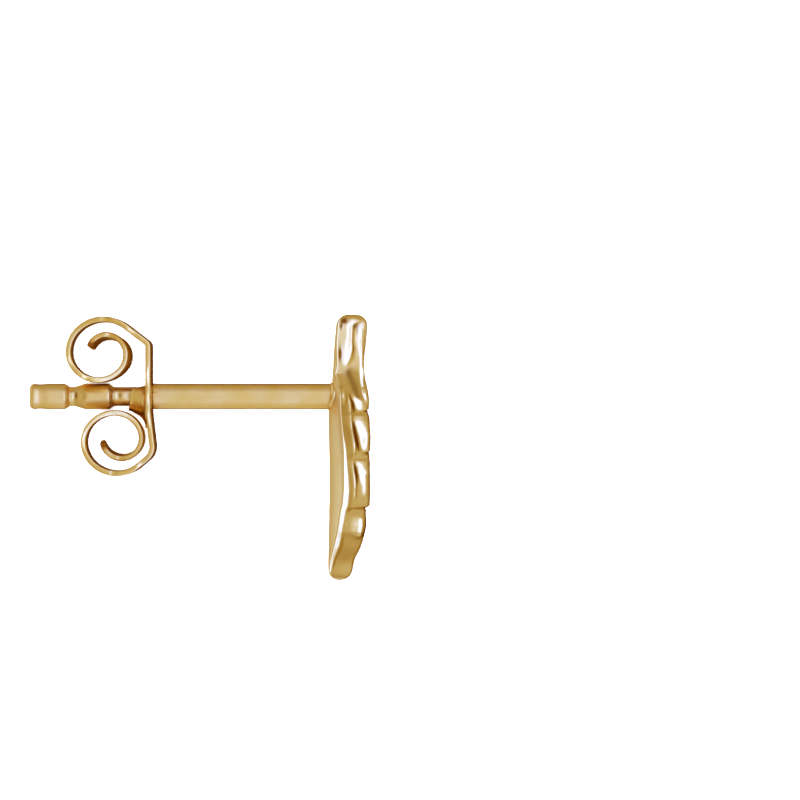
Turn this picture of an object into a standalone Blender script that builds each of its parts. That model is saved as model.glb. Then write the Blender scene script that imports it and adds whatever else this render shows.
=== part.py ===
# A stud earring: a cast gold feather with a grooved post on its back, and the butterfly clutch on that post.
# The pieces are modelled round the post. Local X runs along it to the front of the feather, local Y runs up
# the feather, and local Z runs across it. X is zero on the rearmost part of the feather's back.
# The earring lies on its side, so a root empty lays it down with the origin under the middle of its box.

from collections import namedtuple
import math

import bmesh
import bpy
from mathutils import Vector

MM = 0.001

# Feather, cast in one piece
FEATHER_LENGTH = 9.02 * MM
FEATHER_WIDTH = 3.0 * MM
FEATHER_DEPTH = 1.44 * MM
QUILL_END_ROUND = 0.3 * MM
TIP_ROUND = 0.24 * MM
BARB_SWEEP = 0.3 * MM       # how far a barb's root lies above its end
SPLIT_DEPTH = 0.09 * MM     # of the cut between two lobes

# Post, soldered to the back of the feather
POST_RADIUS = 0.435 * MM
POST_LENGTH = 10.15 * MM    # free end to the rearmost part of the feather
POST_BELOW_QUILL_END = 2.78 * MM
POST_ROOT = 0.5 * MM        # how far the post goes into the feather
POST_END_ROUND = 0.16 * MM
NECK_RADIUS = 0.32 * MM     # at the bottom of both grooves
GROOVE_LENGTH = 0.7 * MM
GROOVE_FROM_END = 1.2 * MM
LONG_GROOVE_LENGTH = 1.5 * MM
LONG_GROOVE_FROM_END = 2.7 * MM
SOLDER_SIZE = 0.04 * MM     # height of the bead of solder round the post

# Clutch, one strip of metal with both ends rolled up
CLUTCH_THICKNESS = 0.19 * MM
CLUTCH_WIDTH = 3.0 * MM
CURL_END_WIDTH = 1.1 * MM
UPPER_CURL_RADIUS = 1.15 * MM
LOWER_CURL_RADIUS = 1.05 * MM
KNEE_RADIUS = 0.18 * MM     # of the bend between the base and the upper ear
EAR_LENGTH = 0.85 * MM      # of the straight run from that bend to the upper curl
UPPER_LEAN = 0.11 * MM      # how far the upper curl's far edge ends up nearer the feather than its near edge
CURL_DROOP = 0.1 * MM       # how far both curls' far edges end up nearer the post
CLUTCH_FROM_FEATHER = 5.99 * MM
FIT_CLEARANCE = 0.03 * MM   # all round the post
COLLAR_LENGTH = 0.66 * MM
COLLAR_WALL = 0.075 * MM
COLLAR_FLARE = 0.6 * MM
EDGE_ROUND = 0.03 * MM

POST_SIDES = 28
HOLE_SIDES = 32
ARC_STEPS = 4               # to a rounded corner
COLLAR_STEPS = 6

GOLD = (0.69, 0.44, 0.13, 1.0)

# Cross-sections of the feather from the quill's end to the tip, a lobe at a time.
# down is a share of the length and width a share of the width, measured at the edge of the feather.
# back, corner, rim and crown are shares of the depth: the middle of the back, the edge of the back, the
# edge of the front, and the crest of the front. relief is 0 for a round front and 1 for barbs and a shaft.
Section = namedtuple("Section", "down width back corner rim crown relief")
QUILL_AND_TOP_LOBE = (
    Section(0.000, 0.33, 0.21, 0.25, 0.31, 0.92, 0.0),
    Section(0.050, 0.34, 0.18, 0.23, 0.28, 0.92, 0.0),
    Section(0.129, 0.34, 0.14, 0.21, 0.25, 0.88, 0.0),
    Section(0.196, 0.36, 0.12, 0.24, 0.32, 0.84, 0.1),
    Section(0.248, 0.50, 0.10, 0.24, 0.41, 0.82, 0.3),
    Section(0.300, 0.70, 0.08, 0.23, 0.48, 0.86, 0.7),
    Section(0.345, 0.80, 0.04, 0.22, 0.53, 0.93, 1.0),
    Section(0.371, 0.83, 0.02, 0.23, 0.54, 0.94, 1.0),
)
UPPER_LOBE = (
    Section(0.382, 0.80, 0.01, 0.27, 0.52, 0.93, 1.0),
    Section(0.420, 0.90, 0.01, 0.31, 0.57, 0.97, 1.0),
    Section(0.472, 0.97, 0.01, 0.35, 0.62, 1.00, 1.0),
    Section(0.524, 1.00, 0.02, 0.38, 0.64, 0.99, 1.0),
)
LOWER_LOBE = (
    Section(0.543, 0.93, 0.02, 0.38, 0.58, 0.97, 1.0),
    Section(0.584, 0.97, 0.03, 0.40, 0.60, 0.98, 1.0),
    Section(0.659, 1.00, 0.03, 0.40, 0.64, 0.99, 1.0),
    Section(0.726, 0.95, 0.03, 0.33, 0.59, 0.98, 1.0),
)
TIP_LOBE = (
    Section(0.746, 0.84, 0.02, 0.31, 0.47, 0.89, 0.9),
    Section(0.785, 0.80, 0.02, 0.28, 0.46, 0.88, 0.9),
    Section(0.834, 0.71, 0.01, 0.22, 0.44, 0.85, 0.8),
    Section(0.879, 0.60, 0.01, 0.16, 0.37, 0.77, 0.6),
    Section(0.920, 0.48, 0.00, 0.11, 0.30, 0.64, 0.4),
    Section(0.961, 0.36, 0.00, 0.07, 0.22, 0.58, 0.2),
    Section(1.000, 0.26, 0.01, 0.06, 0.20, 0.54, 0.0),
)
LOBES = (QUILL_AND_TOP_LOBE, UPPER_LOBE, LOWER_LOBE, TIP_LOBE)
SECTIONS_BETWEEN = 2

# Points of a section's front from its rim to its middle. across is a share of the rim's half width. barbs and
# plain are shares of the height from the rim to the crown, with barbs and without. shaft is how far a point
# belongs to the shaft, which no cut between lobes goes through.
Front = namedtuple("Front", "across barbs plain shaft")
FRONT = (
    Front(1.000, 0.00, 0.00, 0),
    Front(0.965, 0.30, 0.27, 0),
    Front(0.940, 0.47, 0.41, 0),
    Front(0.900, 0.64, 0.55, 0),
    Front(0.850, 0.80, 0.67, 0),
    Front(0.780, 0.92, 0.77, 0),
    Front(0.690, 0.98, 0.84, 0),
    Front(0.580, 0.97, 0.90, 0),
    Front(0.440, 0.90, 0.94, 0),
    Front(0.310, 0.81, 0.97, 0),
    Front(0.205, 0.75, 0.985, 0),
    Front(0.133, 0.86, 0.995, 1),
    Front(0.055, 0.95, 1.00, 1),
    Front(0.000, 0.97, 1.00, 1),
)
BACK_ACROSS = (-0.82, -0.58, -0.30, 0.0, 0.30, 0.58, 0.82)
BACK_SHARE = 0.975          # of a section's width, between the edges of the back
RIM_SHARE = 0.90            # and between the edges of the front

# The side from the edge of the back to the edge of the front: how far along it, and the share of the width.
Side = namedtuple("Side", "along width")
SIDE = (
    Side(0.10, 0.993),
    Side(0.25, 1.000),
    Side(0.42, 0.993),
    Side(0.70, 0.952),
)

# A groove's outline: how far along it, and how deep as a share of its full depth.
GROOVE = ((0.0, 0.0), (0.2, 0.8), (0.33, 1.0), (0.48, 1.0), (0.76, 0.45), (1.0, 0.0))
LONG_GROOVE = ((0.0, 0.0), (0.09, 0.8), (0.14, 1.0), (0.86, 1.0), (0.91, 0.8), (1.0, 0.0))

# How the strip is rolled, one row a bend: the straight run before it and its radius, as shares of the curl's
# radius, and the angle that it turns by.
Bend = namedtuple("Bend", "run radius turn")
UPPER_EAR_ANGLE = 52.5      # the turn from the base into the upper ear
UPPER_BENDS = (
    Bend(0, 1.12, 37.5),
    Bend(0, 1.07, 45),
    Bend(0, 0.92, 45),
    Bend(0, 0.80, 45),
    Bend(0, 0.88, 45),
    Bend(0, 0.88, 45),
    Bend(0, 0.68, 45),
    Bend(0, 0.61, 45),
    Bend(0, 0.58, 45),
    Bend(0, 0.54, 71),
)
LOWER_BENDS = (
    Bend(0, 0.10, -6.5),
    Bend(1.14, 0.49, 56),
    Bend(0.32, 1.16, 40),
    Bend(0, 1.10, 45),
    Bend(0, 0.97, 45),
    Bend(0, 0.91, 45),
    Bend(0, 1.02, 45),
    Bend(0, 0.91, 45),
    Bend(0, 0.78, 45),
    Bend(0, 0.66, 45),
    Bend(0, 0.65, 45),
    Bend(0, 0.63, 79),
)
BEND_STEP = 9               # degrees between two points of a bend
HELD_SHARE = 0.12           # share of a curl's length before it starts to narrow
UPPER_LEAN_SHARE = 0.55     # share of the curl's length before it leans
UPPER_DROOP_SHARE = 0.70    # and before it droops
LOWER_DROOP_SHARE = 0.78
LEAN_RUN_SHARE = 0.2        # share of the curl's length in which it comes to its full lean or droop


def clear_scene():
    for obj in list(bpy.data.objects):
        bpy.data.objects.remove(obj)


def new_collection(name, inside):
    collection = bpy.data.collections.new(name)
    inside.children.link(collection)
    return collection


def gold(name, roughness):
    material = bpy.data.materials.new(name)
    material.use_nodes = True
    shader = material.node_tree.nodes["Principled BSDF"]
    shader.inputs["Base Color"].default_value = GOLD
    shader.inputs["Metallic"].default_value = 1.0
    shader.inputs["Roughness"].default_value = roughness
    return material


def new_object(name, mesh, collection, material=None):
    obj = bpy.data.objects.new(name, mesh)
    collection.objects.link(obj)
    if material:
        mesh.materials.append(material)
    return obj


def mesh_of(name, points, faces):
    mesh = bpy.data.meshes.new(name)
    mesh.from_pydata([tuple(point) for point in points], [], faces)
    bm = bmesh.new()
    bm.from_mesh(mesh)
    bmesh.ops.recalc_face_normals(bm, faces=bm.faces[:])
    bm.to_mesh(mesh)
    bm.free()
    return mesh


def boolean(obj, other, operation):
    modifier = obj.modifiers.new(operation.lower() + "_" + other.name, "BOOLEAN")
    modifier.operation = operation
    modifier.solver = "EXACT"
    modifier.object = other
    other.hide_render = True
    other.display_type = "WIRE"


def smooth(obj, angle):
    obj.data.shade_smooth()
    obj.data.set_sharp_from_angle(angle=math.radians(angle))


def between(a, b, share):
    return a + (b - a) * share


def spline(p0, p1, p2, p3, share):
    """Catmull-Rom value between p1 and p2."""
    bend = 2 * p0 - 5 * p1 + 4 * p2 - p3
    twist = 3 * p1 - p0 - 3 * p2 + p3
    return p1 + 0.5 * share * (p2 - p0 + share * (bend + share * twist))


def finer(lobe):
    """The lobe's sections with others eased in between them."""
    rows = []
    last = len(lobe) - 1
    for i in range(last):
        around = [lobe[max(0, min(last, i + step))] for step in (-1, 0, 1, 2)]
        for k in range(SECTIONS_BETWEEN):
            share = k / SECTIONS_BETWEEN
            rows.append(Section(*(spline(*values, share) for values in zip(*around))))
    rows.append(lobe[last])
    return rows


def split(above, below):
    """The section in the cut between two lobes, before the cut is made."""
    halfway = [between(a, b, 0.5) for a, b in zip(above, below)]
    return Section(*halfway)._replace(rim=min(above.rim, below.rim), crown=min(above.crown, below.crown))


def section_loop(section, cut=0):
    """The points round one section, from one edge of the back to the other and round the front.

    cut is how deep the front and its rim lie below where they would be without the cut between two lobes."""
    half = section.width * FEATHER_WIDTH / 2
    drop = cut / FEATHER_DEPTH
    rim = section.rim - drop
    rim_share = RIM_SHARE - cut / half
    sweep = BARB_SWEEP * math.sin(math.pi * section.down) ** 2
    edge_y = POST_BELOW_QUILL_END - section.down * FEATHER_LENGTH

    def point(across, depth):
        y = edge_y + sweep * (1 - abs(across))
        return Vector((depth * FEATHER_DEPTH, y, across * half))

    def front(row, side):
        height = between(row.plain, row.barbs, section.relief)
        depth = between(section.rim, section.crown, height) - drop * (1 - row.shaft)
        return point(side * rim_share * row.across, depth)

    def wall(row, side):
        width = row.width - cut / half * row.along ** 3
        return point(side * width, between(section.corner, rim, row.along))

    loop = [point(-BACK_SHARE, section.corner)]
    for across in BACK_ACROSS:
        depth = between(section.back, section.corner, across ** 2)
        loop.append(point(BACK_SHARE * across, depth))
    loop.append(point(BACK_SHARE, section.corner))
    loop += [wall(row, 1) for row in SIDE]
    loop += [front(row, 1) for row in FRONT]
    loop += [front(row, -1) for row in FRONT[-2::-1]]
    loop += [wall(row, -1) for row in SIDE[::-1]]
    return loop


def rounded_end(section, radius, downwards):
    """Sections that round off one end of the feather, from its flat cap inwards."""
    half_width = section.width * FEATHER_WIDTH / 2
    half_depth = (section.crown - section.back) * FEATHER_DEPTH / 2
    middle = between(section.back, section.crown, 0.5)
    rows = []
    for i in range(ARC_STEPS):
        angle = math.pi / 2 * i / ARC_STEPS
        inset = radius * (1 - math.sin(angle))
        step_in = radius * (1 - math.cos(angle)) / FEATHER_LENGTH
        depths = (section.back, section.corner, section.rim, section.crown)
        kept = [between(middle, depth, 1 - inset / half_depth) for depth in depths]
        width = section.width * (1 - inset / half_width)
        rows.append(Section(section.down + downwards * step_in, width, *kept, section.relief))
    return rows


def feather_loops():
    """The loops of points down the feather, with its ends rounded and a cut before each lobe but the first."""
    first = LOBES[0][0]
    last = LOBES[-1][-1]
    start = first.down + QUILL_END_ROUND / FEATHER_LENGTH
    stop = last.down - TIP_ROUND / FEATHER_LENGTH
    loops = [section_loop(row) for row in rounded_end(first, QUILL_END_ROUND, 1)]
    for i, lobe in enumerate(LOBES):
        if i:
            loops.append(section_loop(split(LOBES[i - 1][-1], lobe[0]), SPLIT_DEPTH))
        loops += [section_loop(row) for row in finer(lobe) if start < row.down < stop]
    return loops + [section_loop(row) for row in rounded_end(last, TIP_ROUND, -1)[::-1]]


def feather_mesh():
    loops = feather_loops()
    points = [point for loop in loops for point in loop]
    count = len(loops[0])
    faces = []
    for row in range(len(loops) - 1):
        for i in range(count):
            a = row * count + i
            b = row * count + (i + 1) % count
            faces.append((a, b, b + count, a + count))
    faces.append(tuple(range(count)))
    faces.append(tuple(range(len(points) - count, len(points))))
    return mesh_of("feather", points, faces)


def back_at_post():
    """The depth share of the feather's back where the post meets it."""
    down = POST_BELOW_QUILL_END / FEATHER_LENGTH
    return min(LOBES[0], key=lambda section: abs(section.down - down)).back


def post_profile():
    """Radius and distance from the free end, from the end in the feather to the free end."""
    depth = POST_RADIUS - NECK_RADIUS
    outline = [(0, 0)]
    for i in range(ARC_STEPS + 1):
        angle = math.pi / 2 * i / ARC_STEPS
        shoulder = POST_RADIUS - POST_END_ROUND * (1 - math.sin(angle))
        outline.append((shoulder, POST_END_ROUND * (1 - math.cos(angle))))
    for start, length, groove in (
        (GROOVE_FROM_END, GROOVE_LENGTH, GROOVE),
        (LONG_GROOVE_FROM_END, LONG_GROOVE_LENGTH, LONG_GROOVE),
    ):
        outline += [(POST_RADIUS - depth * down, start + length * along) for along, down in groove]
    seam = POST_LENGTH + back_at_post() * FEATHER_DEPTH
    outline.append((POST_RADIUS, seam - SOLDER_SIZE))
    outline.append((POST_RADIUS + SOLDER_SIZE, seam + SOLDER_SIZE))
    outline.append((POST_RADIUS + SOLDER_SIZE, POST_LENGTH + POST_ROOT))
    outline.append((0, POST_LENGTH + POST_ROOT))
    return outline[::-1]


def turned(name, profile, sides, collection, closed=False):
    """A solid turned round the local X axis from points given as radius and distance along it."""
    mesh = bpy.data.meshes.new(name)
    edges = [(i, i + 1) for i in range(len(profile) - 1)]
    if closed:
        edges.append((len(profile) - 1, 0))
    mesh.from_pydata([(radius, 0, along) for radius, along in profile], edges, [])
    obj = new_object(name, mesh, collection)
    obj.rotation_euler.y = math.pi / 2
    screw = obj.modifiers.new("turn", "SCREW")
    screw.steps = sides
    screw.render_steps = sides
    screw.use_merge_vertices = not closed
    screw.merge_threshold = 0.001 * MM
    screw.use_smooth_shade = True
    return obj


def roll(start, heading, bends, curl_radius):
    """Points and headings along a rolled strip. A positive turn is to the left."""
    x, y = start
    path = []
    for bend in bends:
        if bend.run:
            x += bend.run * curl_radius * math.cos(heading)
            y += bend.run * curl_radius * math.sin(heading)
            path.append((x, y))
        radius = bend.radius * curl_radius
        steps = max(2, math.ceil(abs(bend.turn) / BEND_STEP))
        turn = math.radians(bend.turn) / steps
        for _ in range(steps):
            chord = 2 * radius * math.sin(abs(turn) / 2)
            x += chord * math.cos(heading + turn / 2)
            y += chord * math.sin(heading + turn / 2)
            heading += turn
            path.append((x, y))
    return path


def upper_path():
    """From the top of the base round the upper curl, with the top of the base at the origin."""
    knee = roll((0, 0), math.radians(90), [Bend(0, 1, UPPER_EAR_ANGLE)], KNEE_RADIUS)
    heading = math.radians(90 + UPPER_EAR_ANGLE)
    x, y = knee[-1]
    ear = (x + EAR_LENGTH * math.cos(heading), y + EAR_LENGTH * math.sin(heading))
    return [(0, 0)] + knee + [ear] + roll(ear, heading, UPPER_BENDS, UPPER_CURL_RADIUS)


def lower_path():
    """From the foot of the base round the lower curl, which turns the other way, with the foot at the origin."""
    bends = [bend._replace(turn=-bend.turn) for bend in LOWER_BENDS]
    return [(0, 0)] + roll((0, 0), math.radians(-90), bends, LOWER_CURL_RADIUS)


def seated(path, side):
    """The path moved so that its curl lies against the post, with the fit's clearance.

    side is 1 above the post and -1 below it."""
    curl = path[len(path) // 3:]
    comes_back = max(-side * y for x, y in curl)
    start = POST_RADIUS + FIT_CLEARANCE + CLUTCH_THICKNESS / 2 + comes_back
    return [(x, y + side * start) for x, y in path]


def lengths_along(path):
    lengths = [0]
    for (x0, y0), (x1, y1) in zip(path, path[1:]):
        lengths.append(lengths[-1] + math.hypot(x1 - x0, y1 - y0))
    return lengths


def eased_in(share, start):
    """From 0 at the start to 1 once the run of a lean is over."""
    part = min(1, max(0, (share - start) / LEAN_RUN_SHARE))
    return part ** 2 * (3 - 2 * part)


def edge_points(path, side, lean, lean_share, droop_share):
    """Both edges of the strip along a curl: the near one at +Z and the far one at -Z.

    The strip narrows along the curl, its end is rounded, and its far edge leans towards the base and post."""
    rows = []
    lengths = lengths_along(path)
    end_round = CURL_END_WIDTH / 3
    for (x, y), length in zip(path, lengths):
        share = length / lengths[-1]
        taper = max(0, (share - HELD_SHARE) / (1 - HELD_SHARE))
        past = max(0, 1 - (lengths[-1] - length) / end_round)
        rounding = end_round * (1 - math.sqrt(1 - past ** 2))
        half = between(CLUTCH_WIDTH, CURL_END_WIDTH, taper) / 2 - rounding
        far_x = x + lean * eased_in(share, lean_share)
        far_y = y - side * CURL_DROOP * eased_in(share, droop_share)
        rows.append(((x, y, half), (far_x, far_y, -half)))
    return rows


def clutch_strip():
    """The strip as an open surface: the upper curl, the flat base and the lower curl."""
    upper = edge_points(seated(upper_path(), 1), 1, UPPER_LEAN, UPPER_LEAN_SHARE, UPPER_DROOP_SHARE)
    lower = edge_points(seated(lower_path(), -1), -1, 0, 0, LOWER_DROOP_SHARE)
    top = upper[0][0][1]
    foot = lower[0][0][1]
    base = []
    for share in (0.2, 0.4, 0.6, 0.8):
        y = between(top, foot, share)
        base.append(((0, y, CLUTCH_WIDTH / 2), (0, y, -CLUTCH_WIDTH / 2)))
    rows = upper[::-1] + base + lower
    points = [point for row in rows for point in row]
    faces = [(i, i + 1, i + 3, i + 2) for i in range(0, len(points) - 2, 2)]
    return mesh_of("butterfly_clutch", points, faces)


def collar_profile():
    """The flared collar round the hole: radius, and distance along X from the middle of the base."""
    hole_radius = POST_RADIUS + FIT_CLEARANCE
    inside = []
    outside = []
    for i in range(COLLAR_STEPS + 1):
        angle = math.pi / 2 * i / COLLAR_STEPS
        radius = hole_radius + COLLAR_FLARE * (1 - math.sin(angle))
        along = -CLUTCH_THICKNESS / 4 - COLLAR_LENGTH * (1 - math.cos(angle))
        inside.append((radius, along))
        outside.append((radius + COLLAR_WALL * math.sin(angle), along - COLLAR_WALL * math.cos(angle)))
    return outside + inside[::-1]


def post_hole(collection):
    """A cutter for the hole through the base and the collar."""
    radius = POST_RADIUS + FIT_CLEARANCE
    front = 2 * CLUTCH_THICKNESS
    behind = -2 * COLLAR_LENGTH
    return turned("hole", [(0, front), (radius, front), (radius, behind), (0, behind)], HOLE_SIDES, collection)


def block(name, size, centre, collection):
    mesh = bpy.data.meshes.new(name)
    bm = bmesh.new()
    bmesh.ops.create_cube(bm, size=1)
    bmesh.ops.scale(bm, vec=size, verts=bm.verts)
    bmesh.ops.translate(bm, vec=centre, verts=bm.verts)
    bm.to_mesh(mesh)
    bm.free()
    return new_object(name, mesh, collection)


def make_feather_stud(parts, cutters, root):
    stud = new_object("feather_stud", feather_mesh(), parts, gold("polished_gold", 0.18))
    post = turned("post", post_profile(), POST_SIDES, cutters)
    post.location.x = -POST_LENGTH
    stud.parent = root
    post.parent = root
    boolean(stud, post, "UNION")
    smooth(stud, 40)


def make_clutch(parts, cutters, root):
    """The clutch's origin is on the post's axis, along which it slides, in the middle of the base's thickness."""
    clutch = new_object("butterfly_clutch", clutch_strip(), parts, gold("clutch_gold", 0.22))
    collar = turned("collar", collar_profile(), HOLE_SIDES, cutters, closed=True)
    hole = post_hole(cutters)
    reach = 2 * (POST_RADIUS + COLLAR_FLARE + COLLAR_LENGTH + CLUTCH_THICKNESS)
    above = block("above_post", (2 * reach, reach, 2 * reach), (0, reach / 2, 0), cutters)
    for obj in (clutch, collar, hole, above):
        obj.parent = root
        obj.location.x = -CLUTCH_FROM_FEATHER - CLUTCH_THICKNESS / 2
    thickness = clutch.modifiers.new("thickness", "SOLIDIFY")
    thickness.thickness = CLUTCH_THICKNESS
    thickness.offset = 0
    thickness.use_even_offset = True
    edges = clutch.modifiers.new("edges", "BEVEL")
    edges.width = EDGE_ROUND
    edges.segments = 1
    edges.limit_method = "ANGLE"
    edges.angle_limit = math.radians(50)
    boolean(collar, above, "DIFFERENCE")
    boolean(clutch, collar, "UNION")
    boolean(clutch, hole, "DIFFERENCE")
    smooth(clutch, 40)


def points_of(obj):
    """The corners of an object's finished mesh, in world space."""
    bpy.context.view_layer.update()
    evaluated = obj.evaluated_get(bpy.context.evaluated_depsgraph_get())
    points = [evaluated.matrix_world @ vertex.co for vertex in evaluated.to_mesh().vertices]
    evaluated.to_mesh_clear()
    return points


def lay_down(root, parts):
    """Tilts the earring until both pieces touch the ground, and moves the middle of its box's foot to the origin."""
    by_height = [min(points_of(obj), key=lambda point: point.z) for obj in parts.objects]
    clutch_foot, feather_foot = sorted(by_height, key=lambda point: point.x)
    rise = feather_foot.z - clutch_foot.z
    root.rotation_euler.y = math.atan2(rise, feather_foot.x - clutch_foot.x)
    points = [point for obj in parts.objects for point in points_of(obj)]
    low = [min(point[i] for point in points) for i in range(3)]
    high = [max(point[i] for point in points) for i in range(3)]
    root.location = (-(low[0] + high[0]) / 2, -(low[1] + high[1]) / 2, -low[2])


def main():
    clear_scene()
    scene = bpy.context.scene.collection
    parts = new_collection("feather_earring", scene)
    cutters = new_collection("cutters", scene)
    root = new_object("earring", None, scene)
    make_feather_stud(parts, cutters, root)
    make_clutch(parts, cutters, root)
    lay_down(root, parts)


main()
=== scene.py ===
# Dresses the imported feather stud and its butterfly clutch: fine meshes, gold, light, floor and camera.
# The pieces are modelled round the post, as the solids are. Local X runs along it to the front of the
# feather, local Y runs up the feather and local Z runs across it. ORIGIN puts them into the row frame.

import math
from collections import namedtuple

import bmesh
import bpy
import numpy as np
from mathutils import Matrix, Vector, noise


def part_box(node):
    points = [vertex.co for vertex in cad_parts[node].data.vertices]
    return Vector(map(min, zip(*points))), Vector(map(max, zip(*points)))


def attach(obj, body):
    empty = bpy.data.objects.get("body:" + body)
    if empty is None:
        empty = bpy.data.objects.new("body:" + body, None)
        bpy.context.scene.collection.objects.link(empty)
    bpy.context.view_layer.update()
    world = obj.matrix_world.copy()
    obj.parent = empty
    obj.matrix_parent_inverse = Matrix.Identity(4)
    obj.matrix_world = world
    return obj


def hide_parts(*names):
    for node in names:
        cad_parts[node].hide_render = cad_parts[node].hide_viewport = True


MM = 0.001

# Sizes of the solids, repeated here
FEATHER_LENGTH = 9.02 * MM
FEATHER_WIDTH = 3.0 * MM
FEATHER_DEPTH = 1.44 * MM
BARB_SWEEP = 0.3 * MM  # how far a barb's root lies above its end
SPLIT_DEPTH = 0.09 * MM  # of the cut between two lobes
POST_RADIUS = 0.435 * MM
POST_LENGTH = 10.15 * MM  # free end to the rearmost part of the feather
POST_BELOW_QUILL_END = 2.78 * MM
POST_ROOT = 0.5 * MM  # how far the post goes into the feather
POST_END_ROUND = 0.16 * MM
NECK_RADIUS = 0.32 * MM  # at the bottom of both grooves
GROOVE_LENGTH = 0.7 * MM
GROOVE_FROM_END = 1.2 * MM
LONG_GROOVE_LENGTH = 1.5 * MM
LONG_GROOVE_FROM_END = 2.7 * MM
CLUTCH_THICKNESS = 0.19 * MM
CLUTCH_WIDTH = 3.0 * MM
CURL_END_WIDTH = 1.1 * MM
UPPER_CURL_RADIUS = 1.15 * MM
LOWER_CURL_RADIUS = 1.05 * MM
KNEE_RADIUS = 0.18 * MM  # of the bend between the base and the upper ear
EAR_LENGTH = 0.85 * MM  # of the straight run from that bend to the upper curl
UPPER_LEAN = 0.11 * MM  # how far the upper curl's far edge ends up nearer the feather than its near edge
CURL_DROOP = 0.1 * MM  # how far both curls' far edges end up nearer the post
CLUTCH_FROM_FEATHER = 5.99 * MM
FIT_CLEARANCE = 0.03 * MM  # all round the post
HOLE_RADIUS = POST_RADIUS + FIT_CLEARANCE
COLLAR_LENGTH = 0.66 * MM
COLLAR_WALL = 0.075 * MM
COLLAR_FLARE = 0.6 * MM

# Rounded ends of the feather, longer than on the solids
QUILL_END_ROUND = 0.36 * MM
TIP_ROUND = 0.34 * MM
END_ROWS = 12  # in each of them

# Cross-sections of the feather from the quill's end to the tip, a lobe at a time. down is a share of the
# length and width a share of the width, measured at the edge of the feather. back, rim and crown are shares
# of the depth: the middle of the back, the edge of the front, and the crest of the front. relief is 0 for a
# round front and 1 for barbs and a shaft.
Section = namedtuple("Section", "down width back rim crown relief")
LOBES = (
    (
        Section(0.000, 0.33, 0.21, 0.31, 0.92, 0.0),
        Section(0.050, 0.34, 0.18, 0.28, 0.92, 0.0),
        Section(0.129, 0.34, 0.14, 0.25, 0.88, 0.0),
        Section(0.196, 0.36, 0.12, 0.32, 0.84, 0.1),
        Section(0.248, 0.50, 0.10, 0.41, 0.84, 0.3),
        Section(0.300, 0.70, 0.08, 0.48, 0.90, 0.7),
        Section(0.345, 0.80, 0.04, 0.53, 0.955, 1.0),
        Section(0.371, 0.83, 0.02, 0.54, 0.96, 1.0),
    ),
    (
        Section(0.382, 0.85, 0.01, 0.52, 0.93, 1.0),
        Section(0.420, 0.90, 0.01, 0.57, 0.97, 1.0),
        Section(0.472, 0.97, 0.01, 0.62, 1.00, 1.0),
        Section(0.524, 1.00, 0.02, 0.64, 0.99, 1.0),
    ),
    (
        Section(0.543, 0.99, 0.02, 0.58, 0.97, 1.0),
        Section(0.584, 0.99, 0.03, 0.60, 0.98, 1.0),
        Section(0.659, 1.00, 0.03, 0.64, 0.99, 1.0),
        Section(0.726, 0.95, 0.03, 0.59, 0.98, 1.0),
    ),
    (
        Section(0.746, 0.91, 0.02, 0.47, 0.89, 0.9),
        Section(0.785, 0.84, 0.02, 0.46, 0.88, 0.9),
        Section(0.834, 0.71, 0.01, 0.44, 0.85, 0.8),
        Section(0.879, 0.60, 0.01, 0.37, 0.77, 0.6),
        Section(0.920, 0.48, 0.00, 0.30, 0.64, 0.4),
        Section(0.961, 0.36, 0.00, 0.22, 0.58, 0.2),
        Section(1.000, 0.26, 0.01, 0.20, 0.54, 0.0),
    ),
)
ROW_SPACING = 0.036 * MM
LEAST_ROWS = 3  # between two sections
SPLIT_SHARES = (0.12, 0.25, 0.38, 0.5, 0.62, 0.75, 0.88)  # rows between the sections beside a split
SPLIT_NARROWING = 1.5  # the higher, the narrower a split is at its bottom
SPLIT_TO_FRONT = 3  # the higher, the nearer to the front a split begins
SPLIT_DIP = 0.014 * MM  # how far the wall dips in a split

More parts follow.
